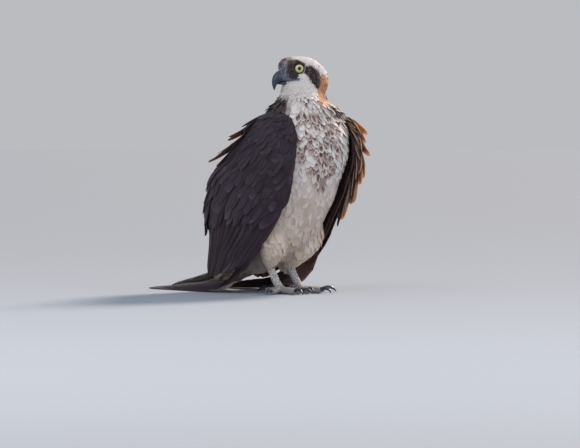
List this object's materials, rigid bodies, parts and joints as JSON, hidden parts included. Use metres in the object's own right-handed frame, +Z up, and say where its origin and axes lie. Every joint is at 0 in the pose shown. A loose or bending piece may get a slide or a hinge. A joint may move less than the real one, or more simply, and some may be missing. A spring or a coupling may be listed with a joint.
{
  "type": "osprey",
  "caption": "Life-size osprey standing upright with folded wings, its head turned to its right.",
  "frame": {"origin": "centre of the whole bird's outline on the ground it stands on", "axes": "+Z up, the bird faces -Y with its tail along +Y, and its left side is +X"},
  "size_m": [0.215, 0.3864, 0.3902],
  "materials": {
    "plumage_white": "soft feathers",
    "plumage_brown": "soft feathers",
    "plumage_tail": "soft feathers",
    "bill": "polished horn",
    "cere": "waxy skin",
    "claw": "polished horn",
    "eye": "wet",
    "foot": "rough scales"
  },
  "bodies": {
    "root": {"head": "plumage_white", "neck": "plumage_white", "torso": "plumage_white", "cere": "cere", "bill_upper": "bill", "bill_lower": "bill", "eye_left": "eye", "eye_right": "eye", "thigh_left": "plumage_white", "thigh_right": "plumage_white", "wing_left": "plumage_brown", "wing_right": "plumage_brown", "tail": "plumage_tail", "tarsus_left": "foot", "tarsus_right": "foot", "foot_left": "foot", "foot_right": "foot", "claw_left_inner": "claw", "claw_left_middle": "claw", "claw_left_outer": "claw", "claw_left_hind": "claw", "claw_right_inner": "claw", "claw_right_middle": "claw", "claw_right_outer": "claw", "claw_right_hind": "claw"}
  },
  "joints": []
}
